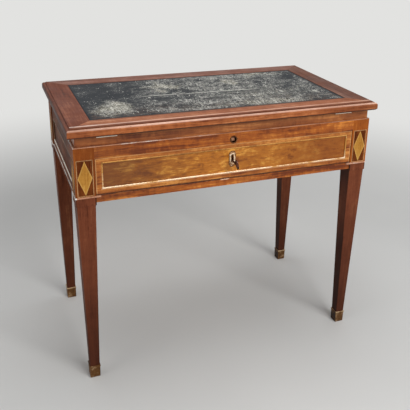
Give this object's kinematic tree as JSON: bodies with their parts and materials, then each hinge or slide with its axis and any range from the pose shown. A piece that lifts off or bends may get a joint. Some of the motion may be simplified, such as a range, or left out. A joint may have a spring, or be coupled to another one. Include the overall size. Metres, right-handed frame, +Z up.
{
  "type": "architects table",
  "caption": "Writing table with tapered legs, drawer and leather-lined top; a crank raises the top on racked posts and it tilts on hinges with a prop.",
  "frame": {"origin": "on the floor, under the middle of the table's four legs", "axes": "+X to the right along the table's length seen from the drawer side, +Y from the drawer front to the back, +Z up"},
  "size_m": [0.878, 0.5305, 0.75],
  "materials": {
    "mahogany_legs": "aged french polish",
    "mahogany_frieze": "aged french polish",
    "mahogany_top": "aged french polish",
    "mahogany_lift": "waxed",
    "inner_wood": "bare oak",
    "lozenge_wood": "polished satinwood",
    "string_wood": "polished boxwood",
    "ground_wood": "polished dark veneer",
    "brass": "dull lacquered",
    "iron": "oiled",
    "steel": "turned",
    "leather": "worn"
  },
  "bodies": {
    "case": {"leg_front_left": "mahogany_legs", "leg_front_right": "mahogany_legs", "leg_back_left": "mahogany_legs", "leg_back_right": "mahogany_legs", "leg_sabots": "brass", "die_stringing": "string_wood", "die_lozenges": "lozenge_wood", "die_grounds": "ground_wood", "frieze_fillets": "brass", "front_upper_rail": "mahogany_frieze", "upper_rail_facing": "mahogany_frieze", "front_lower_rail": "mahogany_frieze", "side_rail_left": "mahogany_frieze", "side_rail_right": "mahogany_frieze", "frieze_panel_beads": "brass", "back_rail": "mahogany_frieze", "crank_bush": "brass", "drawer_runners": "inner_wood", "drawer_guides": "inner_wood", "board_cleats": "inner_wood", "mechanism_board": "inner_wood", "shaft_bearings": "brass"},
    "crank_arbor": {"crank_arbor": "steel", "arbor_bevel": "iron"},
    "cross_shaft": {"cross_shaft": "steel", "cross_shaft_bevels": "iron"},
    "side_shaft_left": {"side_shaft_left": "steel", "side_bevel_left": "iron", "pinions_left": "iron"},
    "side_shaft_right": {"side_shaft_right": "steel", "side_bevel_right": "iron", "pinions_right": "iron"},
    "lift_frame": {"lift_racks": "iron", "lift_posts": "mahogany_lift", "lower_hinge_leaves": "brass", "hinge_pins": "brass", "lift_rail_front": "mahogany_lift", "lift_rail_back": "mahogany_lift", "lift_side_rails": "mahogany_lift", "tray_board": "inner_wood", "notched_battens": "mahogany_lift"},
    "top": {"upper_hinge_leaves": "brass", "prop_pivot_blocks": "mahogany_lift", "prop_pivot_pins": "brass", "top_border_front": "mahogany_top", "top_border_back": "mahogany_top", "top_border_left": "mahogany_top", "top_border_right": "mahogany_top", "top_core": "inner_wood", "top_leather": "leather"},
    "prop": {"prop_frame": "mahogany_lift"},
    "drawer": {"drawer_front": "mahogany_frieze", "drawer_panel_bead": "brass", "drawer_sides": "inner_wood", "drawer_back": "inner_wood", "drawer_bottom": "inner_wood", "lock_case": "iron", "escutcheon": "brass"},
    "lock_bolt": {"lock_bolt": "iron"},
    "key": {"key": "iron"}
  },
  "joints": [
    {"name": "top_lift", "type": "slide", "parent": "case", "child": "lift_frame", "axis": [0, 0, 1], "range_m": [0, 0.2]},
    {"name": "side_shaft_left_spin", "type": "hinge", "parent": "case", "child": "side_shaft_left", "pos_m": [-0.3786, 0, 0.678], "axis": [0, 1, 0], "range_deg": [-960, 960]},
    {"name": "side_shaft_right_spin", "type": "hinge", "parent": "case", "child": "side_shaft_right", "pos_m": [0.3786, 0, 0.678], "axis": [0, 1, 0], "range_deg": [-960, 960]},
    {"name": "cross_shaft_spin", "type": "hinge", "parent": "case", "child": "cross_shaft", "pos_m": [0, 0, 0.678], "axis": [1, 0, 0], "range_deg": [-960, 960]},
    {"name": "crank_arbor_spin", "type": "hinge", "parent": "case", "child": "crank_arbor", "pos_m": [0, 0, 0.678], "axis": [0, 1, 0], "range_deg": [-960, 960]},
    {"name": "top_tilt", "type": "hinge", "parent": "lift_frame", "child": "top", "pos_m": [0, -0.2386, 0.72615], "axis": [1, 0, 0], "range_deg": [0, 50]},
    {"name": "prop_swing", "type": "hinge", "parent": "top", "child": "prop", "pos_m": [0, -0.0386, 0.71815], "axis": [1, 0, 0], "range_deg": [-101, 1]},
    {"name": "drawer_slide", "type": "slide", "parent": "case", "child": "drawer", "axis": [0, -1, 0], "range_m": [0, 0.3]},
    {"name": "key_turn", "type": "hinge", "parent": "drawer", "child": "key", "pos_m": [0, -0.26, 0.616], "axis": [0, 1, 0], "range_deg": [0, 180]},
    {"name": "lock_bolt_slide", "type": "slide", "parent": "drawer", "child": "lock_bolt", "axis": [0, 0, 1], "range_m": [0, 0.0081]}
  ],
  "couplings": [
    {"joint": "side_shaft_left_spin", "follows": "top_lift", "rad_per_m": 83.333},
    {"joint": "side_shaft_right_spin", "follows": "top_lift", "rad_per_m": -83.333},
    {"joint": "cross_shaft_spin", "follows": "top_lift", "rad_per_m": -83.333},
    {"joint": "crank_arbor_spin", "follows": "top_lift", "rad_per_m": -83.333},
    {"joint": "prop_swing", "follows": "top_tilt", "ratio": -2},
    {"joint": "lock_bolt_slide", "follows": "key_turn", "m_per_rad": 0.0025465}
  ]
}
